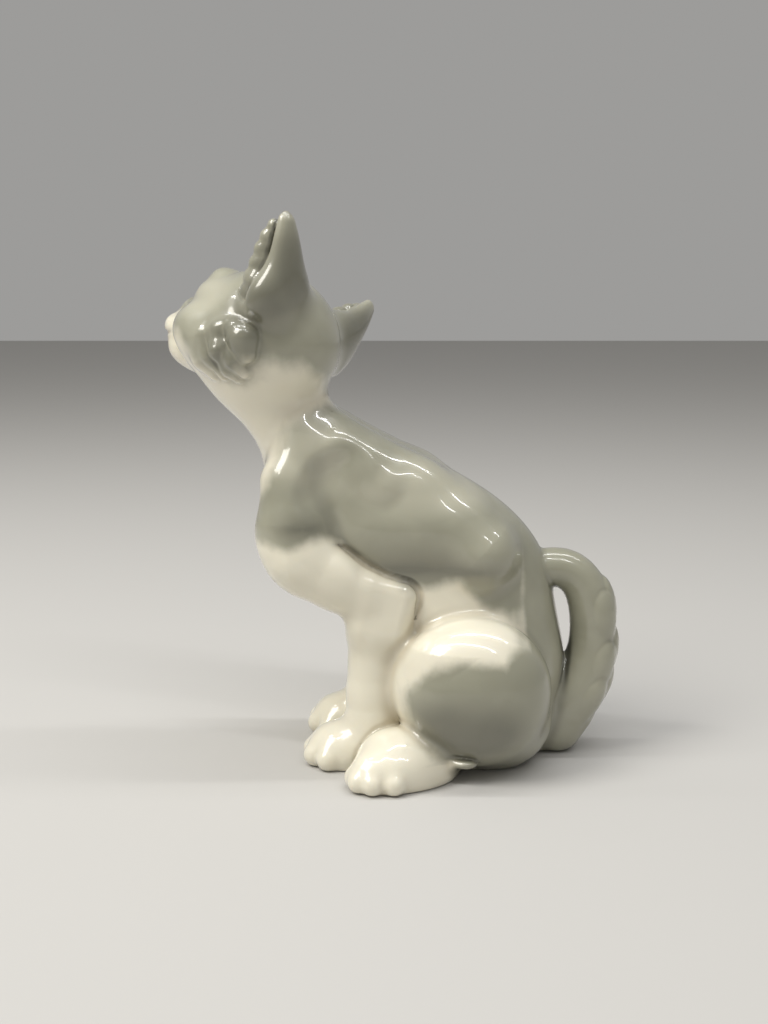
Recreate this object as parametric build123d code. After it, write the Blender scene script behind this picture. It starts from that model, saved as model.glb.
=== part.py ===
"""Seated ceramic cat figurine with its head raised and turned to its right.

Slip-cast porcelain. Each casting comes from its own mould, is drained to an even wall, trimmed,
and luted to its neighbours face to face before the glaze firing. The cat faces -Y and its left
side is +X. It sits on Z = 0, with the origin in the middle of the base plate's underside.
Lengths are millimetres and angles are degrees.
"""

from build123d import *
from math import sqrt
import os

# Driving dimensions.
WALL = 3.5  # wall of the drained castings
NECK_SEAM = 118  # height of the joint between the body and the head castings
PLATE_THICKNESS = 4  # slab that closes the body from below
PLATE_GAP = 0.1  # slip line left round the slab
FAR = 400  # larger than the figurine, for half spaces

# Firing vents: one in the slab, and one from each hollow limb into the body.
BASE_VENT_RADIUS = 3
BASE_VENT_Y = 13
LIMB_VENT_RADIUS = 1.5
LEG_VENT_HEIGHT = 45
LEG_VENT_SPAN = (-45, -12)
TAIL_VENT_SPAN = (15, 40)

# Trunk and neck: height, front and back of the section, half width.
TRUNK = [
    (0, -23, 27, 26),
    (16, -25, 32, 31),
    (34, -27, 35, 32),
    (52, -38, 32, 29),
    (68, -60, 28.5, 26),
    (84, -71, 19, 25),
    (100, -72, -2, 23),
    (110, -74, -22, 20),
    (NECK_SEAM, -79, -38, 17),
    (128, -88, -50, 16),
    (140, -96, -58, 16),
]

# Haunch on each side of the rump.
HAUNCH_CENTRE = (24, -1, 26)
HAUNCH_RADII = (18, 25, 27)

# Foreleg: height, middle, half depth and half width of each section of the column.
FOREARM = [(8, -33, 11, 11), (28, -32, 9.5, 10), (48, -32, 9.5, 10), (62, -31, 9, 10)]
FOREARM_X = 16
SHOULDER_CENTRE = (16, -52, 70)
SHOULDER_RADII = (14, 23, 12.5)
SHOULDER_TILT = -32

# Paws: a pad and a row of toes, turned outwards by the splay.
TOES = 4
TOE_PITCH = 1.3  # from one toe to the next, in toe radii
TOE_LENGTH = 1.5  # half a toe's length, in toe radii
TOE_SET_BACK = 0.9  # from the pad's front to a toe's middle, in toe radii
FOREPAW = dict(centre=(16, -43, 5), radii=(12.5, 14, 10), toe=4.6, splay=4)
HIND_PAW = dict(centre=(36, -20, 5), radii=(11.5, 22, 10.5), toe=4.8, splay=24)

# Tail: the centreline's place behind the body, its height, and the tail's radius there.
TAIL = [
    (22, 66, 6.5),
    (34, 67, 6.8),
    (42.5, 61, 7.4),
    (46.5, 50, 8),
    (46.8, 37, 8.3),
    (43.5, 25, 8.8),
    (39, 15, 9),
    (34, 8, 9),
]
TAIL_CORE_RADIUS = 3.8
TAIL_LEAN = 3  # how far the tail's tip lies towards the cat's left
TAIL_TIP_LENGTH = 2  # how far the rounded tip stands out behind the last section

# Head, in its own frame: X to its left, Y to its back, Z to its crown.
HEAD_CENTRE = (4, -72, 146)
HEAD_TURN = -36
HEAD_LIFT = -20
HEAD_LEAN = -28
SKULL = dict(centre=(0, 0, 3), radii=(26, 26, 24))
BROW = dict(centre=(0, -18, 5), radii=(20, 15, 14))
BRIDGE = dict(centre=(0, -27, -2), radii=(12, 10, 11))
MUZZLE = dict(centre=(0, -28, -9), radii=(12, 11, 9))
CHIN = dict(centre=(0, -23, -15), radii=(9, 9, 6))

# Ear: a tapering cup that opens forwards.
EAR_ROOT = (16, 8, 9)
EAR_HEIGHT = 34
EAR_HALF_WIDTH = 19
EAR_HALF_DEPTH = 11
EAR_MIDDLE_SHARE = 0.62  # the section halfway up, as a share of the root's
EAR_TIP_RADII = (1.8, 1.5)
EAR_SPLAY = 33
EAR_WALL = 2.6
EAR_BACK_WALL = 4.2

# Fur in the ear's mouth: a row of lobes that rises from a low one to a smaller high one.
TUFT_LOBES = 4
TUFT_RADII = (10, 7, 5)
TUFT_TOP_SHARE = 0.5  # the highest lobe's size, as a share of the lowest one's
TUFT_LOW = (-5, 13.5)  # place of the lowest lobe along Y and Z
TUFT_HIGH = (-3, 27)  # place of the highest lobe

# Cheek ruff: the lobes of modelled fur on each cheek, each with its tilt. The head is turned
# over its right shoulder, so the right ruff lies further forwards, clear of the neck.
RUFF = [
    dict(centre=(24, 8, -7), radii=(6, 8, 6.5), tilt=10),
    dict(centre=(23, 5, -14), radii=(6, 10, 4.5), tilt=32),
]
RUFF_TOE_IN = -15
RIGHT_RUFF_FORWARD = 10


def ellipsoid(centre, radii):
    return Pos(*centre) * scale(Sphere(1), by=tuple(radii))


def mirrored(part):
    return mirror(part, about=Plane.YZ)


def above(height):
    """The half space over a height."""
    return Pos(0, 0, height) * Box(FAR, FAR, FAR, align=(Align.CENTER, Align.CENTER, Align.MIN))


def vent(x, z, span):
    """A round passage parallel to Y, from the span's start to its end."""
    start, end = span
    bar = Cylinder(LIMB_VENT_RADIUS, end - start, align=(Align.CENTER, Align.CENTER, Align.MIN))
    return Pos(x, start, z) * Rot(-90, 0, 0) * bar


def trunk(inset=0):
    """The spine's mass as a loft of horizontal ellipses, drawn in by the inset."""
    rings = []
    for height, front, back, half_width in TRUNK:
        ring = Ellipse(half_width - inset, (back - front) / 2 - inset)
        rings.append(Pos(0, (front + back) / 2, height) * ring)
    return loft(rings)


def body_mass(inset=0):
    """Trunk and haunches from the ground to the neck seam."""
    left = ellipsoid(HAUNCH_CENTRE, [r - inset for r in HAUNCH_RADII])
    whole = trunk(inset) + left + mirrored(left)
    return (whole & above(0)) - above(NECK_SEAM)


def to_head(part):
    """Carries a piece from the head's own frame to its place on the neck."""
    turned = Rot(0, 0, HEAD_TURN) * Rot(HEAD_LIFT, 0, 0) * Rot(0, HEAD_LEAN, 0)
    return Pos(*HEAD_CENTRE) * turned * part


def head_mass(inset=0):
    """Skull and face with the neck down to its seam."""
    lumps = [
        ellipsoid(lump["centre"], [r - inset for r in lump["radii"]])
        for lump in (SKULL, BROW, BRIDGE, MUZZLE, CHIN)
    ]
    return to_head(Part() + lumps) + (trunk(inset) & above(NECK_SEAM))


def ear_cone(inset=0, forward=0):
    """The ear's tapering form, upright over the origin of its root."""
    half_width = EAR_HALF_WIDTH - inset
    half_depth = EAR_HALF_DEPTH - inset
    root = Ellipse(half_width, half_depth)
    middle = Ellipse(half_width * EAR_MIDDLE_SHARE, half_depth * EAR_MIDDLE_SHARE)
    rings = [
        Pos(0, -forward, 0) * root,
        Pos(0, -forward, EAR_HEIGHT / 2) * middle,
        Pos(0, -forward, EAR_HEIGHT - inset) * Ellipse(*EAR_TIP_RADII),
    ]
    return loft(rings)


def ear_mouth():
    """The hollow of the ear: a smaller cone, moved forwards out of the back wall."""
    return ear_cone(EAR_WALL, forward=EAR_BACK_WALL)


def to_ear(part):
    """Leans a piece outwards from the ear's upright frame to its root on the skull."""
    return Pos(*EAR_ROOT) * Rot(0, EAR_SPLAY, 0) * part


def ear():
    """A cup that opens forwards."""
    return to_ear(ear_cone() - ear_mouth())


def ear_tuft():
    """Curled fur that fills the ear's mouth, as a rising row of lobes."""
    lobes = []
    for i in range(TUFT_LOBES):
        share = i / (TUFT_LOBES - 1)
        y, z = [low + share * (high - low) for low, high in zip(TUFT_LOW, TUFT_HIGH)]
        size = 1 - share * (1 - TUFT_TOP_SHARE)
        lobes.append(ellipsoid((0, y, z), [r * size for r in TUFT_RADII]))
    return to_ear((Part() + lobes) & ear_mouth())


def ruff():
    """The lobes of fur that stand out from one cheek."""
    lobes = [
        Pos(*lobe["centre"]) * Rot(-lobe["tilt"], 0, RUFF_TOE_IN) * ellipsoid((0, 0, 0), lobe["radii"])
        for lobe in RUFF
    ]
    return Part() + lobes


def foreleg_mass(inset=0):
    """Forearm column and upper arm of the left foreleg."""
    rings = []
    for height, middle, half_depth, half_width in FOREARM:
        ring = Ellipse(half_width - inset, half_depth - inset)
        rings.append(Pos(FOREARM_X, middle, height) * ring)
    arm = ellipsoid((0, 0, 0), [r - inset for r in SHOULDER_RADII])
    return loft(rings) + Pos(*SHOULDER_CENTRE) * Rot(SHOULDER_TILT, 0, 0) * arm


def paw(centre, radii, toe, splay):
    """A left paw: the pad with its toes spread along the front, cut flat on the ground."""
    whole = ellipsoid((0, 0, centre[2]), radii)
    for i in range(TOES):
        aside = (i - (TOES - 1) / 2) * TOE_PITCH * toe
        ahead = radii[1] * sqrt(1 - (aside / radii[0]) ** 2) - TOE_SET_BACK * toe
        whole += ellipsoid((aside, -ahead, toe), (toe, TOE_LENGTH * toe, toe))
    return (Pos(centre[0], centre[1], 0) * Rot(0, 0, splay) * whole) & above(0)


def tail_mass(radii, stations):
    """A round bar of changing radius along the given stretch of the tail's centreline."""
    rings = []
    for i in stations:
        y, z, _ = TAIL[i]
        before, after = TAIL[max(i - 1, 0)], TAIL[min(i + 1, len(TAIL) - 1)]
        along = (0, after[0] - before[0], after[1] - before[1])
        x = TAIL_LEAN * (i / (len(TAIL) - 1)) ** 2
        rings.append(Plane((x, y, z), x_dir=(1, 0, 0), z_dir=along) * Circle(radii[i]))
    return loft(rings)


def tail(body):
    """The tail, drained to a core that breathes into the body, trimmed to rest against it."""
    outer = tail_mass([station[2] for station in TAIL], range(len(TAIL)))
    core = tail_mass([TAIL_CORE_RADIUS] * len(TAIL), range(len(TAIL) - 2))
    end_y, end_z, end_radius = TAIL[-1]
    tip_height = end_z + TAIL_TIP_LENGTH
    tip = ellipsoid((TAIL_LEAN, end_y + TAIL_TIP_LENGTH, end_z), (end_radius, end_radius, tip_height))
    return ((outer + tip - core) & above(0)) - body


def base_plate():
    """The slab that closes the body's pouring hole, with the firing vent."""
    slab = body_mass(WALL + PLATE_GAP) - above(PLATE_THICKNESS)
    return slab - Pos(0, BASE_VENT_Y, 0) * Cylinder(BASE_VENT_RADIUS, 3 * PLATE_THICKNESS)


def body_casting(body):
    """The hollow body, open below, with a vent behind each hollow limb."""
    shell = body - body_mass(WALL)
    leg_vent = vent(FOREARM_X, LEG_VENT_HEIGHT, LEG_VENT_SPAN)
    tail_vent = vent(0, TAIL[0][1], TAIL_VENT_SPAN)
    return shell - leg_vent - mirrored(leg_vent) - tail_vent


def export(part, name):
    os.makedirs("parts", exist_ok=True)
    export_step(part, f"parts/{name}.step")


def export_pair(part, name):
    """Writes the left piece and its mirror image for the right."""
    export(part, f"left_{name}")
    export(mirrored(part), f"right_{name}")


def main():
    body = body_mass()
    leg = foreleg_mass()
    forepaw = paw(**FOREPAW)
    head = head_mass()

    export(body_casting(body), "body_casting")
    export(base_plate(), "base_plate")
    export(tail(body), "tail")
    export_pair((leg - foreleg_mass(WALL) - body) & above(0), "foreleg")
    export_pair(forepaw - leg - body, "forepaw")
    export_pair(paw(**HIND_PAW) - body - forepaw - leg, "hind_paw")

    export(head - head_mass(WALL), "head_casting")
    for name, piece in (("ear", ear()), ("ear_tuft", ear_tuft())):
        export(to_head(piece) - head, f"left_{name}")
        export(to_head(mirrored(piece)) - head, f"right_{name}")
    right_ruff = Pos(0, -RIGHT_RUFF_FORWARD, 0) * mirrored(ruff())
    export(to_head(ruff()) - head - body, "left_cheek_ruff")
    export(to_head(right_ruff) - head - body, "right_cheek_ruff")


main()
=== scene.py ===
"""Looks of the seated ceramic cat: one porcelain form, sculpted in code and split at its castings.

The whole figurine is described by a distance field in millimetres: smooth unions of a few dozen
masses, with carved creases. Each casting is the share of that form nearest to its own masses, so
neighbouring pieces meet exactly and one smooth skin runs over the join. Surface nets turn each
share into a closed mesh. Paint is laid by distances from given borders, kept as attributes of the
meshes, which one glaze material reads.
"""

import math

import bpy
import numpy as np
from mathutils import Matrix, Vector


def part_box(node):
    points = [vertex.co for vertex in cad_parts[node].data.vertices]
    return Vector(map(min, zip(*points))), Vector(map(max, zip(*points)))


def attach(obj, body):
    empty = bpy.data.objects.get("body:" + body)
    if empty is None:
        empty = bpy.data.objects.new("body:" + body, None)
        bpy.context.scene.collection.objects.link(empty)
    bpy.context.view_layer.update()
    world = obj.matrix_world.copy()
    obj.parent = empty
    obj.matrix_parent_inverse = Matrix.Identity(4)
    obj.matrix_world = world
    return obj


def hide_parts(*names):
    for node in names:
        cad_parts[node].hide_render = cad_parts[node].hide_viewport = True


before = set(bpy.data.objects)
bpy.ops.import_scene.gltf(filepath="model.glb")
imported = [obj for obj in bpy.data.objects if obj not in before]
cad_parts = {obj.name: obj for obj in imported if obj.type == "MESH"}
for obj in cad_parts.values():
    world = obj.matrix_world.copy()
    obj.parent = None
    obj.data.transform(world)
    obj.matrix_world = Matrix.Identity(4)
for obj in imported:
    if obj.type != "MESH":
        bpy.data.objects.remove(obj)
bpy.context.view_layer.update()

MM = 0.001
VOXEL = 0.6  # millimetres between the grid's points
BLOCK = 4  # fine cells along one coarse cell
GRID_MARGIN = 9.0  # how far a casting may reach past its CAD node
WINDOW = 12.0  # past this distance from its node a mass no longer matters
TOUCH = 0.05  # step for slopes of the field


# ---------------------------------------------------------------- places taken from the frame


def vec(*numbers):
    return np.array(numbers, np.float32)


BOXES = {node: np.array([list(corner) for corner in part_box(node)]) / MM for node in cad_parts}


def node_box(*nodes):
    """Lowest and highest corner, in millimetres, of one or more CAD nodes."""
    low = np.min([BOXES[node][0] for node in nodes], axis=0)
    high = np.max([BOXES[node][1] for node in nodes], axis=0)
    return low.astype(np.float32), high.astype(np.float32)


def spot(node, x, y, z):
    """The point at these shares of a CAD node's box."""
    low, high = node_box(node)
    return low + (high - low) * vec(x, y, z)


def turn(axis, degrees):
    """Rotation matrix about a row axis."""
    a = math.radians(degrees)
    c, s = math.cos(a), math.sin(a)
    rows = {
        "x": ((1, 0, 0), (0, c, -s), (0, s, c)),
        "y": ((c, 0, s), (0, 1, 0), (-s, 0, c)),
        "z": ((c, -s, 0), (s, c, 0), (0, 0, 1)),
    }
    return np.array(rows[axis], np.float32)


SEAM_HEIGHT = node_box("body_casting")[1][2]
SEAM_MIDDLE = -62  # how far forward the neck's middle lies at the seam
SEAM_TILT = 0.4  # the seam rises to the back, square to the neck

# The head's own axes: X to its left, Y to its back, Z to its crown.
HEAD_TURN = -36
HEAD_LIFT = -20
HEAD_LEAN = -28
HEAD_AXES = turn("z", HEAD_TURN) @ turn("x", HEAD_LIFT) @ turn("y", HEAD_LEAN)
HEAD_CENTRE = spot("head_casting", 0.537, 0.519, 0.508)

# The ear's own axes in the head: X outwards along the ear's width, Z to its tip.
EAR_SPLAY = 33
EAR_ROOT = vec(16, 8, 9)
EAR_AXES = turn("y", EAR_SPLAY)
EAR_HEIGHT = 33.9

# Trunk and neck: height, front and back of the section, half width.
TRUNK = [
    (0, -23, 27, 24),
    (16, -25, 32, 28),
    (34, -27, 35, 28),
    (52, -38, 32, 24.5),
    (68, -60, 28.5, 22.5),
    (84, -70, 19, 24),
    (100, -72, -2, 22.5),
    (110, -74, -22, 19.5),
    (118, -79, -38, 16.5),
    (128, -88, -50, 15.5),
    (140, -96, -58, 15.5),
]


# ---------------------------------------------------------------- distance field: the tools


FURROW_EDGE = 2.2  # softening of a furrow's edges


def size_of(v):
    return np.sqrt((v * v).sum(axis=-1))


def smooth_min(a, b, k):
    """Union of two distances with a fillet of about the radius k."""
    share = np.maximum(k - np.abs(a - b), 0) / k
    return np.minimum(a, b) - share * share * k / 4


def smooth_max(a, b, k):
    return -smooth_min(-a, -b, k)


def folded(p):
    """The points brought over to the left side, for what is alike on both."""
    return np.abs(p) * vec(1, 0, 0) + p * vec(0, 1, 1)


def carve(form, tool, k):
    """Takes the tool out of the form, with an edge softened over k."""
    return smooth_max(form, -tool, k)


def blend_of(parts, k):
    whole = parts[0]
    for part in parts[1:]:
        whole = smooth_min(whole, part, k)
    return whole


def ellipsoid(p, centre, radii, axes=None):
    q = p - vec(*centre)
    if axes is not None:
        q = q @ axes
    r = vec(*radii)
    near = size_of(q / r)
    steep = size_of(q / (r * r))
    return near * (near - 1) / np.maximum(steep, 1e-4)


def pillow(p, centre, half, radius, axes):
    """A box with half sizes and well rounded edges."""
    q = np.abs((p - vec(*centre)) @ axes) - vec(*half)
    return size_of(np.maximum(q, 0)) + np.minimum(q.max(axis=-1), 0) - radius


def furrow(form, a, b, depth):
    """Presses a soft furrow into the form along the line where the surfaces of a and b meet."""
    return carve(form, np.sqrt(a * a + b * b) - depth, FURROW_EDGE)


def rod(p, a, b, ra, rb):
    """A bar from a to b with round ends, its radius changing from ra to rb."""
    a, b = vec(*a), vec(*b)
    along = b - a
    t = np.clip(((p - a) @ along) / (along @ along), 0, 1)
    return size_of(p - a - t[:, None] * along) - (ra + (rb - ra) * t)


def chain(p, points, k=0.6):
    """Bars through points given as (x, y, z, radius)."""
    bars = [rod(p, a[:3], b[:3], a[3], b[3]) for a, b in zip(points, points[1:])]
    return blend_of(bars, k)


def cubic(xs, ys, step=0.5):
    """A table of the natural cubic through the points: places, values and slopes."""
    xs, ys = np.array(xs, float), np.array(ys, float)
    n = len(xs)
    h = np.diff(xs)
    m = np.eye(n)
    rhs = np.zeros(n)
    for i in range(1, n - 1):
        m[i, i - 1 : i + 2] = h[i - 1], 2 * (h[i - 1] + h[i]), h[i]
        rhs[i] = 6 * ((ys[i + 1] - ys[i]) / h[i] - (ys[i] - ys[i - 1]) / h[i - 1])
    bend = np.linalg.solve(m, rhs)
    places = np.arange(xs[0], xs[-1] + step, step)
    i = np.clip(np.searchsorted(xs, places, side="right") - 1, 0, n - 2)
    a, b = (xs[i + 1] - places) / h[i], (places - xs[i]) / h[i]
    curve = a * ys[i] + b * ys[i + 1]
    curve += ((a**3 - a) * bend[i] + (b**3 - b) * bend[i + 1]) * h[i] ** 2 / 6
    slopes = np.gradient(curve, step)
    return [t.astype(np.float32) for t in (places, curve, slopes)]


def look_up(table, at):
    places, values, slopes = table
    value = np.interp(at, places, values).astype(np.float32)
    slope = np.interp(at, places, slopes).astype(np.float32)
    return value, slope


def oval_bar(x, y, z, front, back, width):
    """An upright bar of oval sections, whose front, back and half width are tables over z."""
    (f, df), (b, db), (w, dw) = look_up(front, z), look_up(back, z), look_up(width, z)
    half = (b - f) / 2
    q = y - (f + b) / 2
    near = np.sqrt((x / w) ** 2 + (q / half) ** 2)
    nx, ny = x / w**2, q / half**2
    steep = np.maximum(np.sqrt(nx**2 + ny**2), 1e-4)
    lean = (np.abs(nx) * dw + ny * np.where(q > 0, db, df)) / steep
    return near * (near - 1) / steep / np.sqrt(1 + lean**2)


def near_node(p, nodes, shape):
    """The shape's distance near its CAD nodes' box, and a rough larger one further off."""
    low, high = node_box(*nodes)
    gap = size_of(np.maximum(np.maximum(low - p, p - high), 0))
    d = gap + WINDOW / 2
    close = gap < WINDOW
    if close.any():
        d[close] = shape(p[close])
    return d


# ---------------------------------------------------------------- distance field: the cat

TRUNK_FRONT, TRUNK_BACK, TRUNK_WIDTH = [
    cubic([row[0] for row in TRUNK], [row[i] for row in TRUNK]) for i in (1, 2, 3)
]


def to_head(p):
    return (p - HEAD_CENTRE) @ HEAD_AXES


def to_ear(h):
    return (h - EAR_ROOT) @ EAR_AXES


def trunk(p):
    z = np.clip(p[:, 2], TRUNK[0][0], TRUNK[-1][0])
    side = oval_bar(p[:, 0], p[:, 1], z, TRUNK_FRONT, TRUNK_BACK, TRUNK_WIDTH)
    return np.maximum(side, p[:, 2] - TRUNK[-1][0])


def rise(value, start, end):
    """Nought before start, one after end, straight between."""
    return np.clip((value - start) / (end - start), 0, 1)


# Bars under the skin of the left side, as x, y, z and radius along each.
SPINE_RIDGE = [(7.5, -47, 114.5, 7.5), (11.5, -20, 97, 9.5), (15, 3, 75, 13)]
SHOULDER_BLADE = [
    (13.5, -54, 110.5, 7),
    (13.5, -45, 110.5, 7),
    (14.5, -38, 106.5, 7.2),
    (16, -30, 99.5, 7.8),
]
SHOULDER = [(11, -58, 116, 7), (14.5, -62, 100, 9), (16.5, -61.3, 86, 11), (17, -57.8, 76, 12)]


def torso(p):
    """Trunk, haunches, shoulders and neck. Left and right are alike."""
    s = folded(p)
    y, z = p[:, 1], p[:, 2]
    form = trunk(p)
    # Ridge beside the spine, the shoulder blade under it, and the rib cage's bulge.
    form = smooth_min(form, chain(s, SPINE_RIDGE, 6), 6)
    form = smooth_min(form, chain(s, SHOULDER_BLADE, 4), 3.5)
    form = smooth_min(form, ellipsoid(s, (13, -21, 84), (13.5, 25, 11)), 6)
    # Shoulder, a rounded column from the neck's side to the upper arm, and the hollow behind it.
    form = smooth_min(form, chain(s, SHOULDER, 6), 5)
    form = carve(form, ellipsoid(s, (31, -47, 104.5), (11, 6.5, 13.5), turn("x", -39)), 6)
    # Haunch: hip and rump, and the thigh's dome, which stands off them in front and below.
    hip = ellipsoid(s, (26, 0, 30), (15.5, 27, 25))
    rump = ellipsoid(s, (17, 8, 16), (17, 21, 18))
    form = smooth_min(form, smooth_min(hip, rump, 6), 4)
    dome = ellipsoid(s, (32.5, 0.2, 29.5), (13, 22.6, 21.5))
    soft = np.maximum(rise(y, -12, 2), rise(z, 36, 46))
    haunch = smooth_min(form, dome, 2.2 + 7 * soft)
    heel = ellipsoid(s, (38, -2.4, 7.6), (3.4, 4, 1.8))
    return smooth_min(haunch, heel, 0.9)


MOUTH_LINE = [(1, -37, -12.2, 0.5), (6, -34.5, -12.6, 0.6), (10.5, -29, -12, 0.4)]


def skull(p):
    """Skull and face, worked out in the head's axes."""
    h = to_head(p)
    m = folded(h)
    # Skull, forehead, cheeks, brows and the bridge of the nose.
    form = ellipsoid(h, (0, 1, 3), (25, 25, 23.5))
    form = smooth_min(form, ellipsoid(h, (0, -16, 5), (18.5, 15, 12.5)), 5)
    form = smooth_min(form, ellipsoid(m, (12, -12, -7), (11.5, 14, 10.5)), 5)
    form = smooth_min(form, ellipsoid(m, (8.5, -19.8, 12.7), (7, 5.8, 4.7)), 3)
    form = smooth_min(form, ellipsoid(h, (0, -26.8, -1.5), (10, 9.8, 8.5)), 4)
    # Eyes: a socket, then the ball under its lids.
    form = carve(form, ellipsoid(m, (10.5, -29.5, 5), (5.5, 4.5, 4)), 2.5)
    form = smooth_min(form, ellipsoid(m, (9.6, -23, 5), (4.8, 4.2, 4.4)), 0.7)
    # Muzzle: two pads over a chin, with the nose on top.
    form = smooth_min(form, ellipsoid(m, (4.4, -29, -8.4), (6.4, 8, 5.6)), 2.6)
    form = smooth_min(form, ellipsoid(h, (0, -25.4, -14.2), (8, 8.2, 5.2)), 3)
    form = carve(form, chain(m, MOUTH_LINE), 1)
    return smooth_min(form, ellipsoid(h, (0, -36.2, -4.6), (3.8, 2.4, 2.8)), 2.6)


EAR_FOOT = -6  # the ear's tables start this far inside the skull
EAR_CAP = -3  # its foot is rounded off from here down
MOUTH_TOP = 32  # where the cup's mouth closes
EAR_WIDTH = cubic((-6, 0, 5, 10, 17, 26, 35), (7, 11.8, 12.9, 12, 7.8, 4.8, 1.7))
EAR_BACK = cubic((-6, 0, 9, 17, 26, 35), (12, 11, 9.6, 7.6, 4, -0.6))
EAR_FRONT = cubic((-6, 3, 10, 17, 26, 35), (-9, -7, -5.6, -3.6, -3.2, -3.8))
MOUTH_WIDTH = cubic((-6, 0, 5, 10, 17, 26, 32), (5.5, 9.8, 10.8, 9.9, 5.9, 2.9, 0.4))
MOUTH_BACK = cubic((-6, 0, 9, 17, 26, 32), (5.8, 5.2, 4.2, 2.6, -0.2, -3))
MOUTH_FRONT = cubic((-6, 32), (-24, -8))


def ear(e):
    """A cup in the ear's own axes: a tapering oval form with its mouth taken out in front."""
    z = np.clip(e[:, 2], EAR_FOOT, EAR_HEIGHT)
    outside = oval_bar(e[:, 0], e[:, 1], z, EAR_FRONT, EAR_BACK, EAR_WIDTH)
    outside = smooth_max(outside, e[:, 2] - EAR_HEIGHT, 3)
    outside = smooth_max(outside, EAR_CAP - e[:, 2], 9)
    z = np.clip(e[:, 2], EAR_FOOT, MOUTH_TOP)
    mouth = oval_bar(e[:, 0], e[:, 1], z, MOUTH_FRONT, MOUTH_BACK, MOUTH_WIDTH)
    mouth = np.maximum(mouth, e[:, 2] - MOUTH_TOP)
    return smooth_max(outside, -mouth, 1.6)


TUFT_SPREAD = vec(0.6, 1, 1)  # the backing is wider than it is deep
TUFT_BACKING = [
    (0, -3.8, 3, 5.4),
    (0, -3.8, 10, 5.2),
    (0, -4.2, 17, 3.5),
    (0, -4.6, 23, 2.5),
    (0, -4.4, 28, 1.4),
]
# Curls across the ear's mouth, from the lowest up: half length, place, height, thickness.
TUFT = [
    (5, -6.4, 4.4, 3.3),
    (4.8, -6.3, 9.2, 3.1),
    (4, -5.9, 14, 3.1),
    (3.4, -5.8, 18.8, 2.8),
    (2.4, -5.6, 23.2, 2.4),
    (1.3, -4.8, 27, 2),
]


def tuft(e):
    """Curled fur that fills the ear's mouth."""
    curls = [chain(e * TUFT_SPREAD, TUFT_BACKING, 2)]
    for half, y, z, thick in TUFT:
        curl = [(-half, y + 1.2, z - 1.6, thick), (0, y - 0.6, z, thick), (half, y, z + 1.2, thick)]
        curls.append(chain(e, curl, 1))
    return blend_of(curls, 1.5)


RUFF_BACKING = [(20.6, 1, -5, 4.4), (17.6, 5, -10.5, 4)]
# Each lock of fur curls down and back: places in the head's axes and the thickness there.
RUFF_LOCKS = [
    [(23.2, 5, -2.6, 3.8), (22.4, 9, -3.8, 4.9), (20.4, 11.2, -7.4, 3.8)],
    [(22, 4, -9, 2.5), (19.5, 8.3, -11, 3.1), (15.6, 11.4, -12.8, 2.1)],
    [(22.5, -2.5, -7.2, 2.1), (21.8, 2.4, -11.2, 2.6), (16.4, 6.3, -14.2, 2.5), (13.4, 9, -15.2, 1.7)],
    [(21.6, -5.6, -8.8, 2), (18.6, -1.8, -13.6, 2.4), (13.6, 3.4, -16.8, 1.7)],
    [(20, -7.9, -10.8, 1.8), (16.4, -5.2, -15.8, 2.1), (12.5, -0.8, -18, 1.4)],
    [(24.4, 2, -2, 1.8), (23.6, -0.6, -5, 2.1), (22.6, 1.5, -8.5, 2.4)],
]


def ruff(h):
    """Locks of curled fur on the left cheek, in the head's axes."""
    locks = [chain(h, lock, 2.5) for lock in RUFF_LOCKS]
    return blend_of([chain(h, RUFF_BACKING)] + locks, 1.5)


MIRROR = vec(-1, 1, 1)
# The right side's fur is not laid quite like the left side's.
RIGHT_TUFT_SHIFT = vec(0, -1.2, 0)
RIGHT_RUFF_SHIFT = vec(-1.6, 10, 0)


def left_ear(p):
    return ear(to_ear(to_head(p)))


def right_ear(p):
    return ear(to_ear(to_head(p) * MIRROR))


def left_tuft(p):
    return tuft(to_ear(to_head(p)))


def right_tuft(p):
    return tuft(to_ear(to_head(p) * MIRROR) + RIGHT_TUFT_SHIFT)


def left_ruff(p):
    return ruff(to_head(p))


def right_ruff(p):
    return ruff(to_head(p) * MIRROR + RIGHT_RUFF_SHIFT)


def foreleg(s):
    """Upper arm, elbow and forearm of the left leg."""
    arm = ellipsoid(s, (16.5, -50, 69.2), (13.6, 24, 12), turn("x", -32))
    column = chain(s, [(16.3, -33.5, 9, 10.8), (16, -33.8, 26, 9.2), (16.2, -33.4, 44, 9.2)], 2)
    elbow = pillow(s, (16.8, -30.2, 57), (4.2, 5.2, 6), 5.8, turn("x", -14))
    return smooth_min(arm, smooth_min(column, elbow, 8), 5)


# A toe from its tip to its arch, in toe sizes: distance in from the rim, height, thickness.
TOE = [(0.4, 0.9, 0.94), (1.5, 1.75, 1), (3.1, 2.35, 0.8)]


def paw(s, centre, radii, splay, toe, fan):
    """A pad with its toes: the fan says where round the pad's rim each toe stands, in degrees."""
    q = (s - vec(*centre)) @ turn("z", splay)
    form = ellipsoid(q, (0, 0, 5), radii)
    for place in fan:
        a = math.radians(place)
        x, y = radii[0] * math.sin(a), -radii[1] * math.cos(a)
        out = vec(math.sin(a) / radii[0], -math.cos(a) / radii[1])
        out /= size_of(out)
        bones = [
            (x - out[0] * inward * toe, y - out[1] * inward * toe, toe * height, toe * thick)
            for inward, height, thick in TOE
        ]
        form = smooth_min(form, chain(q, bones, 1.5), 1.7)
    return form


def forepaw(s):
    low, high = node_box("left_forepaw")
    middle = (low + high) / 2
    centre = (middle[0] - 0.4, middle[1] + 1.3, 0)
    return paw(s, centre, (12.4, 13.8, 10), 4, 4.4, (-58, -20, 18, 54))


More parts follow.
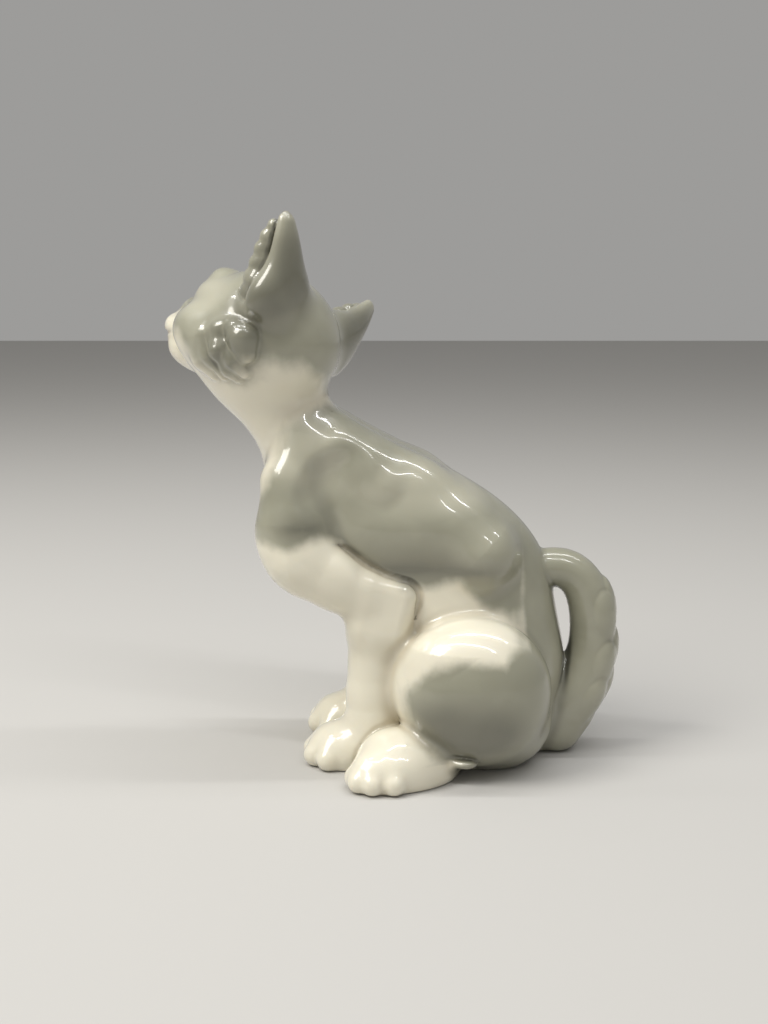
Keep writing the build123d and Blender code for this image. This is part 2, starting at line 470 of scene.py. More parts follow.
def hind_paw(s):
    low, high = node_box("left_hind_paw")
    middle = (low + high) / 2
    centre = (middle[0] - 2.4, middle[1] - 0.2, 0)
    foot = paw(s, centre, (11.4, 20.4, 10.6), 26, 4.1, (-20, 9, 36, 62))
    instep = ellipsoid(s, (31, -26, 7), (9.5, 12, 10))
    return smooth_min(foot, instep, 8)


# The tail's centreline and radius: place behind the body, height, radius.
TAIL = [
    (22, 66, 6.5),
    (34, 66.6, 6.7),
    (41.6, 60.5, 7.1),
    (44.9, 50, 7.7),
    (45, 37.5, 8.1),
    (41.6, 26, 9.3),
    (36, 16.5, 10),
    (30.4, 9.6, 8.9),
]
TAIL_LEAN = 3  # the tip lies this far to the cat's left


def tail_line():
    """Points along the tail with their radii."""
    stations = np.arange(len(TAIL))
    tables = [cubic(stations, [row[i] for row in TAIL], 1 / 3) for i in range(3)]
    at = np.linspace(0, len(TAIL) - 1, 3 * (len(TAIL) - 1) + 1)
    y, z, r = [look_up(table, at)[0] for table in tables]
    x = TAIL_LEAN * (at / (len(TAIL) - 1)) ** 2
    return np.stack([x, y, z, r], axis=1)


TAIL_LINE = tail_line()
LOCKS = 11
LOCK_RADII = (4.6, 8.5, 2.9)
LOCKS_FROM, LOCKS_OVER = 0.36, 0.56  # where the locks start along the tail, and over how much of it
LOCK_ANGLE = 52  # from one lock to the next round the tail, in degrees
LOCK_DEPTH = 1.2  # how far a lock's middle lies under the tail's surface


def lock_place(i):
    """The middle of one lock of fur on the tail, and its axes: across, along and outwards."""
    share = i / (LOCKS - 1)
    at = int((LOCKS_FROM + LOCKS_OVER * share) * (len(TAIL_LINE) - 1))
    x, y, z, r = TAIL_LINE[at]
    before, after = TAIL_LINE[at - 1], TAIL_LINE[at + 1]
    slant = math.atan2(after[2] - before[2], after[1] - before[1])
    side = math.radians((i % 3 - 1) * LOCK_ANGLE)
    run = vec(0, math.cos(slant), math.sin(slant))
    out = vec(math.sin(side), math.cos(side) * -math.sin(slant), math.cos(side) * math.cos(slant))
    if out[1] < 0:
        out = out * vec(1, -1, -1)
    axes = np.stack([np.cross(out, run), run, out], axis=1)
    return vec(x, y, z) + out * (r - LOCK_DEPTH), axes.astype(np.float32)


LOCK_PLACES = [lock_place(i) for i in range(LOCKS)]


def tail(p):
    """The tail, with locks of fur laid round the outside of its lower part."""
    form = chain(p, TAIL_LINE, 1.5)
    tip = ellipsoid(p, (TAIL_LEAN, 32.5, 8), (9, 9.5, 9))
    form = smooth_min(form, tip, 2)
    for centre, axes in LOCK_PLACES:
        form = smooth_min(form, ellipsoid(p, centre, LOCK_RADII, axes), 1.4)
    return form


# ---------------------------------------------------------------- the figure, split at its castings

BODY, HEAD = "body_casting", "head_casting"
NECK_FILLET = 8
CHEST_FILLET = 9  # where the arm runs out into the chest
ARM_FILLET = 2.6  # where the arm lies on the flank
SHIN_FILLET = 6  # where the forearm stands before the haunch
ARM_CREASE = 0.65  # depth of the crease between arm and flank
CREASE_FADE = 2.2  # taken off its depth where it ends
FOOT_EDGE = 0.8  # rounding where the figure stands on the ground


def mirrored(shape):
    return lambda p: shape(p * MIRROR)


def arm_fillet(p):
    """The arm melts into the chest and the forearm into the haunch; between them is a crease."""
    forward = rise(-p[:, 1], 46, 62)
    low = rise(-p[:, 2], -52, -42)
    chest = (CHEST_FILLET - ARM_FILLET) * forward
    return ARM_FILLET + chest + (SHIN_FILLET - ARM_FILLET) * low * (1 - forward)


def arm_furrow(p):
    """Depth of the crease between arm and flank, on the outer side only."""
    ahead = rise(-p[:, 1], 40, 52)
    below = rise(-p[:, 2], -60, -46)
    inside = rise(-np.abs(p[:, 0]), -23, -18)
    return ARM_CREASE - CREASE_FADE * np.maximum(np.maximum(ahead, below), inside)


def paw_fillet(p):
    """The hind paw melts into the shin behind and keeps a crease against the forepaw."""
    return 1.3 + 3 * rise(p[:, 1], -30, -18)


def tail_fillet(p):
    """The tail melts into the rump low down, where it is luted on."""
    return 1.3 + 3 * rise(-p[:, 2], -32, -20)


def ruff_fillet(p):
    """The cheek fur melts into the cheek in front and stands off it behind."""
    return 1.4 + 4.5 * rise(-to_head(p)[:, 1], -2, 7)


# Castings other than body and head, in the order in which they join: shape and fillet.
LIMBS = {
    "left_foreleg": (foreleg, arm_fillet),
    "right_foreleg": (mirrored(foreleg), arm_fillet),
    "left_forepaw": (forepaw, 5),
    "right_forepaw": (mirrored(forepaw), 5),
    "left_hind_paw": (hind_paw, paw_fillet),
    "right_hind_paw": (mirrored(hind_paw), paw_fillet),
    "tail": (tail, tail_fillet),
    "left_ear": (left_ear, 4),
    "right_ear": (right_ear, 4),
    "left_ear_tuft": (left_tuft, 0.6),
    "right_ear_tuft": (right_tuft, 0.6),
    "left_cheek_ruff": (left_ruff, ruff_fillet),
    "right_cheek_ruff": (right_ruff, 1.6),
}
CASTINGS = [BODY, HEAD, *LIMBS]
LEGS = {"left_foreleg": "left_forepaw", "right_foreleg": "right_forepaw"}
RECESS_WALL = 3.4  # body wall around the base plate
RECESS_DEPTH = 4.1


def recess(p):
    """The room for the base plate, in the body's underside."""
    haunches = ellipsoid(folded(p), (24, -1, 26), (14.6, 21.6, 23.6))
    pocket = np.minimum(trunk(p) + RECESS_WALL, haunches)
    return np.maximum(pocket, p[:, 2] - RECESS_DEPTH)


def figure(p, names):
    """The whole figure's distance at p, and the own distance of each named casting."""
    height = p[:, 2]
    spine = near_node(p, (BODY, HEAD), torso)
    crown = near_node(p, (HEAD,), skull)
    above = (height - SEAM_HEIGHT - SEAM_TILT * (p[:, 1] - SEAM_MIDDLE)) / math.hypot(1, SEAM_TILT)
    own = {
        BODY: spine + np.maximum(above, 0),
        HEAD: np.minimum(crown, spine + np.maximum(-above, 0)),
    }
    whole = smooth_min(spine, crown, NECK_FILLET)
    for name in names:
        if name in LIMBS:
            shape, fillet = LIMBS[name]
            own[name] = near_node(p, (name,), shape)
            joined = smooth_min(whole, own[name], fillet(p) if callable(fillet) else fillet)
            if name in LEGS:
                joined = furrow(joined, whole, own[name], arm_furrow(p))
            whole = joined
    # Each leg ends at its cuff, and what is below it belongs to the paw.
    for leg, foot in LEGS.items():
        if leg in own and foot in own:
            cuff = node_box(leg)[0][2]
            own[foot] = np.minimum(own[foot], own[leg] + np.maximum(height - cuff, 0))
            own[leg] = own[leg] + np.maximum(cuff - height, 0)
    whole = smooth_max(whole, -height, FOOT_EDGE)
    low = height < RECESS_DEPTH + VOXEL * BLOCK * 2
    if low.any():
        whole[low] = np.maximum(whole[low], -recess(p[low]))
    return whole, own


def neighbours(piece):
    """Castings close enough to matter to a piece, in the order in which they join."""
    low, high = node_box(piece)
    reach = GRID_MARGIN + WINDOW
    near = []
    for name in CASTINGS:
        other_low, other_high = node_box(name)
        if (other_low < high + reach).all() and (other_high > low - reach).all():
            near.append(name)
    return near


def share_of(piece):
    """A function of points: the figure's distance, and how far a rival casting is nearer."""
    names = neighbours(piece)

    def fields(p):
        whole, own = figure(p, names)
        rivals = [own[name] for name in own if name != piece]
        return whole, own[piece] - np.minimum.reduce(rivals)

    return fields


# ---------------------------------------------------------------- meshing

CHUNK = 250_000  # points worked out at a time
NEAR_SKIN = 1.5  # blocks this near the skin get fine cells, in half diagonals of a block
NEAR_CUT = 2.5  # the same for the cut between castings
CORNERS = np.array([(i, j, k) for i in (0, 1) for j in (0, 1) for k in (0, 1)])
# A cell's twelve edges run from a corner along an axis.
EDGES = [(tuple(c), axis) for axis in range(3) for c in CORNERS if c[axis] == 0]
TETRA = np.array([(1, -1, -1), (-1, -1, 1), (-1, 1, -1), (1, 1, 1)], np.float32)


def edge_ends(edge):
    start, axis = edge
    end = tuple(np.array(start) + np.eye(3, dtype=int)[axis])
    return start, end


def patches_of(inside):
    """Which patch of the surface crosses each edge of a cell whose inside corners are given."""
    patch = {}
    for edge in EDGES:
        start, end = edge_ends(edge)
        if (start in inside) != (end in inside):
            patch[edge] = len(patch)
    for axis in range(3):
        for level in (0, 1):
            on_face = [e for e in patch if all(corner[axis] == level for corner in edge_ends(e))]
            pairs = [on_face]
            if len(on_face) == 4:
                pairs = [[e for e in on_face if corner in edge_ends(e)] for corner in inside]
                pairs = [pair for pair in pairs if len(pair) == 2]
            for pair in pairs:
                if len(pair) == 2:
                    old, new = patch[pair[0]], patch[pair[1]]
                    patch = {e: new if number == old else number for e, number in patch.items()}
    order = sorted(set(patch.values()))
    return [order.index(patch[e]) if e in patch else -1 for e in EDGES]


def cell_cases():
    """The patches of all 256 kinds of cell."""
    cases = []
    for case in range(256):
        inside = {tuple(c) for i, c in enumerate(CORNERS) if case >> i & 1}
        cases.append(patches_of(inside))
    return np.array(cases)


CASES = cell_cases()


def in_chunks(fields, p):
    """Both fields at many points, a part at a time to spare memory."""
    parts = [fields(p[i : i + CHUNK]) for i in range(0, len(p), CHUNK)]
    return [np.concatenate(column) for column in zip(*parts)]


def slopes(fields, p):
    """Values and gradients of both fields at the points."""
    samples = [in_chunks(fields, p + TOUCH * t) for t in TETRA]
    values = [sum(s[i] for s in samples) / 4 for i in (0, 1)]
    gradients = [
        sum(s[i][:, None] * t for s, t in zip(samples, TETRA)) / (4 * TOUCH) for i in (0, 1)
    ]
    return values, gradients


def sample_grid(fields, low, high, step):
    """Both fields on a fine grid, worked out only near the surface."""
    block = step * BLOCK
    blocks = np.ceil((high - low) / block).astype(int)
    index = np.indices(blocks).reshape(3, -1).T
    whole, border = in_chunks(fields, (low + (index + 0.5) * block).astype(np.float32))
    reach = block * math.sqrt(3) / 2
    close = (np.abs(whole) < NEAR_SKIN * reach) & (border < NEAR_CUT * reach)
    close |= (np.abs(border) < NEAR_CUT * reach) & (whole < NEAR_SKIN * reach)
    grids = []
    for values in (whole, border):
        coarse = values.reshape(blocks)
        grids.append(coarse.repeat(BLOCK, 0).repeat(BLOCK, 1).repeat(BLOCK, 2))
    inner = np.indices((BLOCK,) * 3).reshape(3, -1).T
    fine = (index[close][:, None] * BLOCK + inner[None]).reshape(-1, 3)
    values = in_chunks(fields, (low + fine * step + step / 2).astype(np.float32))
    for grid, value in zip(grids, values):
        grid[tuple(fine.T)] = value
    return grids


def surface_net(grids):
    """Points, in grid units, and quads of the surface where the larger field is zero."""
    values = np.maximum(*grids)
    inside = values < 0
    nx, ny, nz = [n - 1 for n in inside.shape]
    kind = np.zeros((nx, ny, nz), np.uint8)
    for bit, (i, j, k) in enumerate(CORNERS):
        kind += inside[i : i + nx, j : j + ny, k : k + nz].astype(np.uint8) << bit
    cells = np.argwhere((kind > 0) & (kind < 255))
    case = CASES[kind[tuple(cells.T)]]
    patches = case.max(axis=1) + 1
    first = np.cumsum(patches) - patches
    row = np.full(kind.shape, -1, np.int32)
    row[tuple(cells.T)] = np.arange(len(cells))

    points = np.zeros((patches.sum(), 3))
    crossings = np.zeros(len(points))
    for number, (start, axis) in enumerate(EDGES):
        crossed = case[:, number] >= 0
        corner = cells[crossed] + start
        along = np.eye(3, dtype=int)[axis]
        a, b = values[tuple(corner.T)], values[tuple((corner + along).T)]
        point = first[crossed] + case[crossed, number]
        points[point] += corner + (a / (a - b))[:, None] * along
        crossings[point] += 1
    points /= crossings[:, None]

    quads = []
    for axis in range(3):
        u, v = np.eye(3, dtype=int)[[(axis + 1) % 3, (axis + 2) % 3]]
        lower = np.take(inside, range(inside.shape[axis] - 1), axis)
        upper = np.take(inside, range(1, inside.shape[axis]), axis)
        edges = np.argwhere(lower != upper)
        ring = []
        for step in (u + v, v, 0 * u, u):
            at = row[tuple((edges - step).T)]
            ring.append(first[at] + case[at, EDGES.index((tuple(step), axis))])
        ring = np.stack(ring, axis=1)
        flipped = ~inside[tuple(edges.T)]
        ring[flipped] = ring[flipped][:, ::-1]
        quads.append(ring)

    cell_of = np.repeat(np.arange(len(cells)), patches)
    on_both = []
    for grid in grids:
        corner = np.stack([grid[tuple((cells + c).T)] for c in CORNERS])
        on_both.append(((corner.min(axis=0) < 0) & (corner.max(axis=0) > 0))[cell_of])
    return points, np.concatenate(quads), *on_both


SETTLE_ROUNDS = 3
LEAST_STEEP = 0.05  # squared slope under which a field is taken as flat
LEAST_SPREAD = 0.1  # under this the two fields run too alike to meet in a corner
LARGEST_MOVE = 0.9  # in steps of the grid


def settle(fields, points, on_skin, on_seam, step):
    """Draws each point onto the skin, the cut between castings, or the corner where they meet."""
    start = points.copy()
    for _ in range(SETTLE_ROUNDS):
        (whole, border), (a, b) = slopes(fields, points)
        aa, bb, ab = (a * a).sum(1), (b * b).sum(1), (a * b).sum(1)
        spread = aa * bb - ab * ab
        corner = on_skin & on_seam & (spread > LEAST_SPREAD * aa * bb)
        safe = np.where(corner, spread, 1)
        to_skin = np.where(on_skin, -whole / np.maximum(aa, LEAST_STEEP), 0)
        to_cut = np.where(on_skin, 0, -border / np.maximum(bb, LEAST_STEEP))
        to_skin = np.where(corner, (border * ab - whole * bb) / safe, to_skin)
        to_cut = np.where(corner, (whole * ab - border * aa) / safe, to_cut)
        points = points + a * to_skin[:, None] + b * to_cut[:, None]
        moved = points - start
        far = np.maximum(size_of(moved) / (LARGEST_MOVE * step), 1)
        points = (start + moved / far[:, None]).astype(np.float32)
    return points


def largest_part(points, quads):
    """Keeps the largest connected piece of the mesh."""
    label = np.arange(len(points))
    while True:
        lowest = label[quads].min(axis=1)
        new = label.copy()
        np.minimum.at(new, quads.ravel(), lowest.repeat(4))
        new = new[new]
        if (new == label).all():
            break
        label = new
    main = np.bincount(label).argmax()
    keep = label == main
    number = np.cumsum(keep) - 1
    return keep, number[quads[keep[quads[:, 0]]]]


CREASE_AND_RIDGE_REACH = 2.0  # how far from the skin its hollows and ridges are felt
SAME_WAY = 0.7  # cosine: a face turned further than this from the skin belongs to a cut
FINENESS = {
    # a casting's grid step against VOXEL, 1 where it is not named
    BODY: 1.24,
    HEAD: 0.85,
    "left_ear": 0.7,
    "right_ear": 0.7,
    "left_ear_tuft": 0.55,
    "right_ear_tuft": 0.55,
    "left_cheek_ruff": 0.55,
    "right_cheek_ruff": 0.55,
    "left_forepaw": 0.7,
    "right_forepaw": 0.7,
    "left_hind_paw": 0.75,
    "right_hind_paw": 0.75,
    "tail": 0.8,
}


def closed_skin(piece, fields):
    """Points and quads of one casting's surface, and which points are on the skin and the cut."""
    low, high = node_box(piece)
    low, high = low - GRID_MARGIN, high + GRID_MARGIN
    step = VOXEL * FINENESS.get(piece, 1)
    points, quads, on_skin, on_seam = surface_net(sample_grid(fields, low, high, step))
    keep, quads = largest_part(points, quads)
    points, on_skin, on_seam = points[keep], on_skin[keep], on_seam[keep]
    points = (low + (points + 0.5) * step).astype(np.float32)
    return settle(fields, points, on_skin, on_seam, step), quads, on_skin, on_seam


def corner_normals(points, quads, normals, on_skin, on_seam):
    """Smooth normals on the skin and flat ones on the cuts, for each corner of each quad."""
    corners = points[quads]
    facing = np.cross(corners[:, 2] - corners[:, 0], corners[:, 3] - corners[:, 1])
    facing /= np.maximum(size_of(facing), 1e-9)[:, None]
    cut = (~on_skin[quads]).any(axis=1)
    all_corner = (on_skin & on_seam)[quads].all(axis=1)
    agrees = (facing * normals[quads].mean(axis=1)).sum(axis=1) > SAME_WAY
    cut |= all_corner & ~agrees
    return np.where(cut[:, None, None], facing[:, None], normals[quads]).reshape(-1, 3)


def mesh_of(name, points, quads):
    """A smooth shaded mesh of quads, in metres."""
    mesh = bpy.data.meshes.new(name)
    mesh.vertices.add(len(points))
    mesh.vertices.foreach_set("co", (points * MM).ravel())
    mesh.loops.add(quads.size)
    mesh.loops.foreach_set("vertex_index", quads.ravel().astype(np.int32))
    mesh.polygons.add(len(quads))
    mesh.polygons.foreach_set("loop_start", np.arange(0, quads.size, 4, dtype=np.int32))
    mesh.update(calc_edges=True)
    mesh.shade_smooth()
    return mesh


def sculpt(piece, material):
    """One casting's glazed skin, as a closed mesh with its paint masks and its masks of painted shade
    and light.
    """
    fields = share_of(piece)
    points, quads, on_skin, on_seam = closed_skin(piece, fields)
    skin_slope = slopes(fields, points)[1][0]
    normals = skin_slope / np.maximum(size_of(skin_slope), 1e-6)[:, None]
    # Masks for painted shade in hollows and creases, where glaze also pools, and a painted highlight
    # on ridges, where the glaze is also thinner.
    crease_shade_and_pool = 1 - in_chunks(fields, points + CREASE_AND_RIDGE_REACH * normals)[0] / CREASE_AND_RIDGE_REACH
    ridge_highlight_and_thin = 1 + in_chunks(fields, points - CREASE_AND_RIDGE_REACH * normals)[0] / CREASE_AND_RIDGE_REACH

    mesh = mesh_of(piece + "_glazed", points, quads)
    split = corner_normals(points, quads, normals, on_skin, on_seam)
    mesh.normals_split_custom_set(split)
    masks = {"crease_shade_and_pool": crease_shade_and_pool, "ridge_highlight_and_thin": ridge_highlight_and_thin, **body_paint_and_light(points), **face_paint(points)}
    for name, values in masks.items():
        attribute = mesh.attributes.new(name, "FLOAT", "POINT")
        attribute.data.foreach_set("value", values.astype(np.float32))
    mesh.materials.append(material)
    skin = bpy.data.objects.new(piece + "_glazed", mesh)
    bpy.context.scene.collection.objects.link(skin)
    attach(skin, "root")
    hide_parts(piece)


# ---------------------------------------------------------------- paint

# Borders between white and grey, as places along the body (y) with their heights (z).
COLLAR = [
    (-90, 0), (-80, 0), (-78, 84), (-74, 94), (-70, 102), (-66.5, 109), (-64, 117), (-61, 121),
    (-57, 124), (-49, 126), (-40, 127),
]
SHOULDER_END = [
    (-78, 83), (-68, 79), (-63, 78.5), (-55, 81.5), (-48, 81), (-43, 78), (-30, 69), (-23, 64.5),
    (-11, 64.5), (-4, 67), (-1, 63.5), (3, 58.5), (11, 54), (15, 50), (18, 40), (20, -20), (60, -20),
]
THIGH_TOP = [
    (-24, 26), (-21.8, 33.5), (-17, 38.5), (-11, 41.5), (-5, 44), (2, 44), (10, 42.5), (12, 45.5),
    (16, 48),
]
# The thigh's front edge: heights with their places along the body.
THIGH_FRONT = [
    (0, -6), (8, -7), (9, -11), (13, -16), (16.5, -19.5), (22, -22.3), (29, -23.3), (45, -23.5),
]
# Under the jaw, in the head's axes: places towards the back with their heights.
JAW = [
    (-17, -13), (-13, -15.5), (-6, -18), (0, -18.5), (6, -18), (10, -16.5), (13, -13.5), (16, -10),
    (19, -6.5), (24, -2), (26, -0.5),
]
ABOVE_THIGH = 50  # from this height up the thigh's borders don't count
WELL_WHITE = -9  # a distance inside the white that changes no border


def past(border, along, value):
    """How far a value lies beyond a border, given as points of place along it and value."""
    places, values = np.array(border).T
    run = np.linspace(places[0], places[-1], 120)
    line = np.interp(run, places, values)
    steep = np.sqrt(1 + np.gradient(line, run) ** 2)
    return (value - np.interp(along, run, line)) / np.interp(along, run, steep)


def outside_white(p):
    """How far a point lies outside the white areas, in millimetres: negative inside them."""
    y, z = p[:, 1], p[:, 2]
    h = to_head(p)
    neck = np.maximum(past(JAW, h[:, 1], h[:, 2]), -past(COLLAR, y, z))
    muzzle = ellipsoid(h, (0, -33, -13), (13, 13, 11))
    beside_thigh = np.minimum(-past(THIGH_TOP, y, z), past(THIGH_FRONT, z, y))
    beside_thigh = np.where(z > ABOVE_THIGH, WELL_WHITE, beside_thigh)
    low = np.maximum(past(SHOULDER_END, y, z), beside_thigh)
    return np.minimum(smooth_min(neck, muzzle, 3), low)


def thick_grey_and_shade(p):
    """How far a point lies inside the areas where the grey is darkened: painted shade in most of them,
    grey sprayed thicker at the ear's base.
    """
    s = folded(p)
    h = folded(to_head(p))
    e = to_ear(h)
    # Painted shade under the rib bulge, low on the haunch, under the shoulder, on the back of the ear
    # and on the lower cheek fur; at the ear's base the grey is sprayed thicker.
    areas = [
        ellipsoid(s, (24, -13, 71), (9, 24, 6)),
        ellipsoid(s, (42, -4, 19), (12, 22, 14)),
        ellipsoid(s, (29, -57, 86), (8, 10, 5)),
        ellipsoid(e, (12, 4, 4), (13, 15, 12)),
        ellipsoid(e, (0, 6, 16), (12, 12, 16)),
        ellipsoid(h, (22, 5, -8), (9, 10, 10)),
    ]
    return -blend_of(areas, 5)


def painted_light(p):
    """How far a point lies inside the areas where the grey is painted lighter, as painted light on
    surfaces that face the lamps.
    """
    s = folded(p)
    h = to_head(p)
    # Painted light on the shoulder blade and back, which face the lamps above, and on the cheek.
    areas = [
        ellipsoid(s, (16, -56, 110), (15, 14, 16)),
        ellipsoid(s, (14, -18, 98), (16, 28, 11)),
        ellipsoid(h, (18, -16, 3), (13, 13, 10)),
    ]
    return -blend_of(areas, 5)


def body_paint_and_light(p):
    """The masks that say where the glaze is white, where painted shade, and at the ear's base a
    thicker spray, darkens the grey, and where painted light makes it paler.
    """
    return {"white_mm": outside_white(p), "thick_grey_and_shade_mm": thick_grey_and_shade(p), "painted_light_mm": painted_light(p)}


def face_paint(p):
    """How far a point lies inside the painted eyes, pupils and nose, in millimetres."""
    h = to_head(p)
    m = folded(h)
    eye = ellipsoid(m, (10, -27.3, 5), (4.2, 3.4, 3.2))
    pupil = ellipsoid(m, (9.8, -27.6, 5), (1.3, 3, 2.8))
    nose = ellipsoid(h, (0, -38.8, -4.8), (2.8, 1.8, 1.6))
    return {"eye": -eye, "pupil": -pupil, "nose": -nose}


def material_tree(name):
    """A new material with its node tree and its shader."""
    material = bpy.data.materials.new(name)
    material.use_nodes = True
    tree = material.node_tree
    shader = next(n for n in tree.nodes if n.type == "BSDF_PRINCIPLED")
    return material, tree, shader


def add_node(tree, kind, **settings):
    node = tree.nodes.new(kind)
    for key, value in settings.items():
        setattr(node, key, value)
    return node


def feed(tree, value, socket):
    """Sets a socket to a number or colour, or links another socket to it."""
    if isinstance(value, bpy.types.NodeSocket):
        tree.links.new(value, socket)
    else:
        socket.default_value = value


def mix(tree, share, a, b):
    node = add_node(tree, "ShaderNodeMix", data_type="RGBA")
    feed(tree, share, node.inputs[0])
    feed(tree, a, node.inputs[6])
    feed(tree, b, node.inputs[7])
    return node.outputs[2]


def ramp(tree, value, start, end, low=0.0, high=1.0):
    """Carries a value from one span to another, with soft ends."""
    node = add_node(tree, "ShaderNodeMapRange", interpolation_type="SMOOTHSTEP")
    for socket, item in zip(node.inputs, (value, start, end, low, high)):
        feed(tree, item, socket)
    return node.outputs[0]


def maths(tree, operation, a, b):
    """One sum, product or other operation of two values."""
    node = add_node(tree, "ShaderNodeMath", operation=operation)
    feed(tree, a, node.inputs[0])
    feed(tree, b, node.inputs[1])
    return node.outputs[0]


def mask(tree, name):
    """A paint mask that sculpt() keeps in the mesh."""
    return add_node(tree, "ShaderNodeAttribute", attribute_name=name).outputs["Fac"]


def noise(tree, size, detail=2.0, roughness=0.5):
    """Noise whose lumps are about the given size across, in metres."""
    place = add_node(tree, "ShaderNodeTexCoord")
    node = add_node(tree, "ShaderNodeTexNoise")
    feed(tree, place.outputs["Object"], node.inputs["Vector"])
    feed(tree, 1 / size, node.inputs["Scale"])
    feed(tree, detail, node.inputs["Detail"])
    feed(tree, roughness, node.inputs["Roughness"])
    return node.outputs["Fac"]


# Glaze colours. The deep ones are painted shade, partly pooled glaze and thicker grey; the pale grey
# is painted light, partly thin glaze and paler clouds of spray.
WHITE = (0.80, 0.757, 0.62, 1)
WHITE_SHADED_AND_POOLED = (0.44, 0.37, 0.25, 1)
GREY = (0.30, 0.295, 0.222, 1)
GREY_LIT_AND_PALE = (0.47, 0.455, 0.355, 1)
GREY_SHADED_AND_DEEP = (0.125, 0.122, 0.09, 1)
IRIS = (0.20, 0.21, 0.05, 1)
PUPIL = (0.006, 0.006, 0.007, 1)
NOSE_PINK = (0.50, 0.27, 0.22, 1)


def glaze_colour(tree):
    """White or grey by the masks, with painted shade in hollows and low areas, painted light on ridges
    and lit areas, and eyes and nose over it.
    """
    wander = maths(tree, "MULTIPLY", maths(tree, "SUBTRACT", noise(tree, 0.012, 4), 0.5), 6.0)
    edge = maths(tree, "ADD", mask(tree, "white_mm"), wander)
    grey_share = ramp(tree, edge, -2.2, 3.2)
    cloud = ramp(tree, noise(tree, 0.03, 3), 0.35, 0.68)
    # Painted shade in hollows and creases, partly glaze pooling; it darkens both the white and the
    # grey.
    crease_shade_share = ramp(tree, mask(tree, "crease_shade_and_pool"), 0.02, 0.55)
    # Painted highlight on ridges, partly thinner glaze; it turns the grey towards the pale grey.
    ridge_highlight_share = ramp(tree, mask(tree, "ridge_highlight_and_thin"), 0.05, 0.6)
    # Painted light on top-lit areas, together with random paler clouds of spray.
    lit_and_pale_share = ramp(tree, mask(tree, "painted_light_mm"), -6, 7)
    lit_and_pale_share = maths(tree, "MAXIMUM", maths(tree, "MULTIPLY", cloud, 0.45), lit_and_pale_share)
    # Painted shade, with pooled glaze in hollows and thicker grey at the ear's base, darkens the grey.
    shade_and_deep_share = maths(tree, "MAXIMUM", crease_shade_share, ramp(tree, mask(tree, "thick_grey_and_shade_mm"), -5, 8, 0.0, 0.75))
    grey = mix(tree, lit_and_pale_share, GREY, GREY_LIT_AND_PALE)
    grey = mix(tree, shade_and_deep_share, grey, GREY_SHADED_AND_DEEP)
    grey = mix(tree, maths(tree, "MULTIPLY", ridge_highlight_share, 0.35), grey, GREY_LIT_AND_PALE)
    white = mix(tree, maths(tree, "MULTIPLY", crease_shade_share, 0.5), WHITE, WHITE_SHADED_AND_POOLED)
    colour = mix(tree, grey_share, white, grey)
    colour = mix(tree, ramp(tree, mask(tree, "nose"), -0.4, 0.3), colour, NOSE_PINK)
    colour = mix(tree, ramp(tree, mask(tree, "eye"), -0.12, 0.12), colour, IRIS)
    return mix(tree, ramp(tree, mask(tree, "pupil"), -0.15, 0.2), colour, PUPIL)


def bumps(tree, height, strength, distance):
    """Normals from a height, to be fed to a shader."""
    bump = add_node(tree, "ShaderNodeBump")
    bump.inputs["Strength"].default_value = strength
    bump.inputs["Distance"].default_value = distance
    feed(tree, height, bump.inputs["Height"])
    return bump.outputs[0]


def glaze():
    """Ivory porcelain under clear glaze, with grey sprayed on before it."""
    material, tree, shader = material_tree("porcelain_glaze")
    feed(tree, glaze_colour(tree), shader.inputs["Base Color"])
    shader.inputs["Roughness"].default_value = 0.3
    shader.inputs["Coat Weight"].default_value = 1.0
    shader.inputs["Coat Roughness"].default_value = 0.045
    shader.inputs["Subsurface Weight"].default_value = 0.12
    shader.inputs["Subsurface Radius"].default_value = (1.0, 0.8, 0.55)
    shader.inputs["Subsurface Scale"].default_value = 0.002
    fine = maths(tree, "MULTIPLY", noise(tree, 0.0015), 0.08)
    ripple = bumps(tree, maths(tree, "ADD", noise(tree, 0.009, 1), fine), 0.25, 0.0006)
    feed(tree, ripple, shader.inputs["Normal"])
    feed(tree, ripple, shader.inputs["Coat Normal"])
    return material


BISQUE = (0.74, 0.68, 0.57, 1)
BISQUE_SPECK = (0.66, 0.58, 0.46, 1)
BISQUE_SOOT = (0.5, 0.43, 0.33, 1)


def bisque():
    """Bare fired clay: matt, faintly speckled and sooty."""
    material, tree, shader = material_tree("bisque")
    speck = ramp(tree, noise(tree, 0.0012, 3, 0.7), 0.42, 0.62)
    stain = ramp(tree, noise(tree, 0.02, 4), 0.4, 0.7)
    colour = mix(tree, speck, BISQUE, BISQUE_SPECK)
    colour = mix(tree, maths(tree, "MULTIPLY", stain, 0.3), colour, BISQUE_SOOT)
    feed(tree, colour, shader.inputs["Base Color"])
    feed(tree, ramp(tree, stain, 0, 1, 0.75, 0.92), shader.inputs["Roughness"])
    grain = bumps(tree, noise(tree, 0.0006, 3, 0.7), 0.5, 0.0002)
    feed(tree, grain, shader.inputs["Normal"])
    return material


# ---------------------------------------------------------------- scene


CAMERA_PLACE = (0.450, -0.030, 0.1695)
CAMERA_DIP = 10.4  # degrees below the horizon
CAMERA_LENS = 45.2
FLOOR_REACH = 3.0
FLOOR_COLOUR = (0.52, 0.51, 0.49, 1)
BACKDROP_COLOUR = (0.80, 0.79, 0.77, 1)
BACKDROP_STRENGTH = 0.42
LAMP_AIM = (0, 0, 0.09)


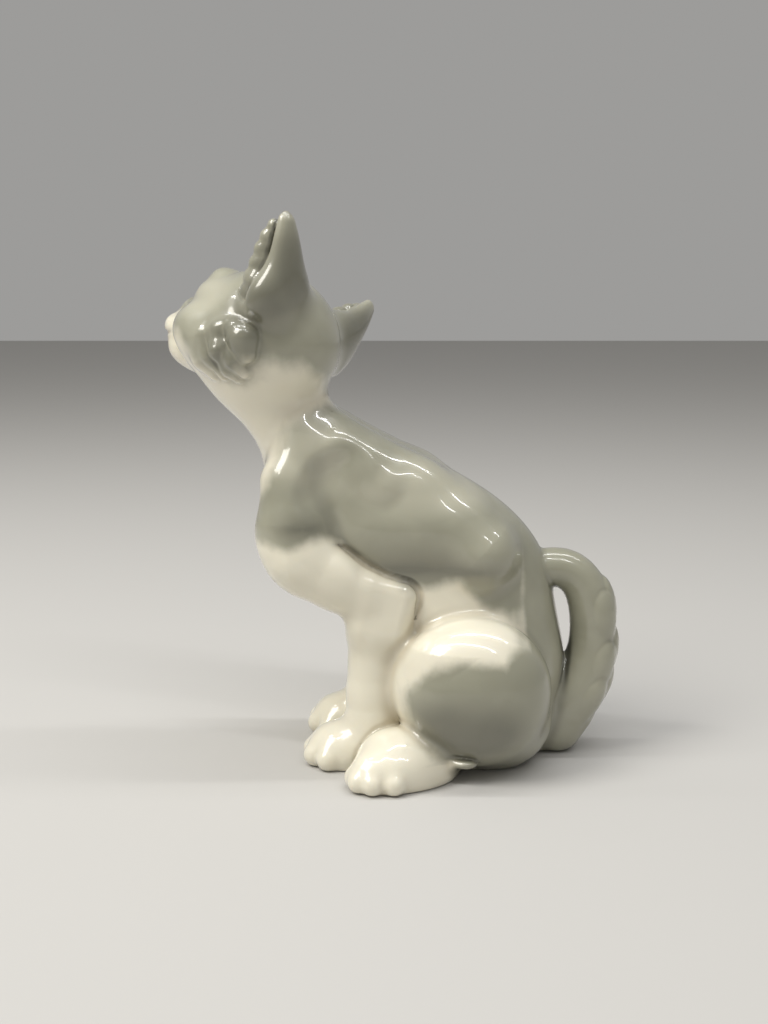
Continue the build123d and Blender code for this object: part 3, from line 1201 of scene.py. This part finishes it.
def add_camera():
    """The photo's view: level with the head, square to the cat's left side."""
    data = bpy.data.cameras.new("camera")
    data.lens = CAMERA_LENS
    data.sensor_width = 36
    camera = bpy.data.objects.new("camera", data)
    camera.location = CAMERA_PLACE
    camera.rotation_euler = (math.radians(90 - CAMERA_DIP), 0, math.radians(90))
    bpy.context.scene.collection.objects.link(camera)
    bpy.context.scene.camera = camera


def add_floor():
    """A plain pale floor."""
    mesh = bpy.data.meshes.new("floor")
    corners = [(-1, -1), (1, -1), (1, 1), (-1, 1)]
    places = [(FLOOR_REACH * x, FLOOR_REACH * y, 0) for x, y in corners]
    mesh.from_pydata(places, [], [(0, 1, 2, 3)])
    floor = bpy.data.objects.new("floor", mesh)
    material, _, shader = material_tree("pale_floor")
    shader.inputs["Base Color"].default_value = FLOOR_COLOUR
    shader.inputs["Roughness"].default_value = 0.85
    mesh.materials.append(material)
    bpy.context.scene.collection.objects.link(floor)


def add_light(name, place, width, depth, watts, colour=(1, 1, 1)):
    """A rectangular lamp aimed at the figure's middle."""
    data = bpy.data.lights.new(name, "AREA")
    data.shape = "RECTANGLE"
    data.size, data.size_y = width, depth
    data.energy = watts
    data.color = colour
    light = bpy.data.objects.new(name, data)
    light.location = place
    light.rotation_euler = (Vector(LAMP_AIM) - Vector(place)).to_track_quat("-Z", "Y").to_euler()
    bpy.context.scene.collection.objects.link(light)


def add_lights():
    """Soft studio light, with two strips overhead that draw lines of gloss along the back."""
    world = bpy.data.worlds.new("studio")
    world.use_nodes = True
    backdrop = world.node_tree.nodes["Background"]
    backdrop.inputs["Color"].default_value = BACKDROP_COLOUR
    backdrop.inputs["Strength"].default_value = BACKDROP_STRENGTH
    bpy.context.scene.world = world
    bpy.context.scene.view_settings.view_transform = "Standard"
    add_light("softbox", (0.45, -0.9, 1.1), 0.6, 0.6, 10.3, (1, 0.97, 0.9))
    add_light("strip_front", (0.4, -0.15, 1.0), 1.6, 0.025, 5)
    add_light("strip_back", (-0.05, 0.0, 1.0), 1.6, 0.025, 5)


add_camera()
add_floor()
add_lights()
GLAZE = glaze()
for casting in CASTINGS:
    sculpt(casting, GLAZE)
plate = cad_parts["base_plate"]
plate.data.materials.clear()
plate.data.materials.append(bisque())
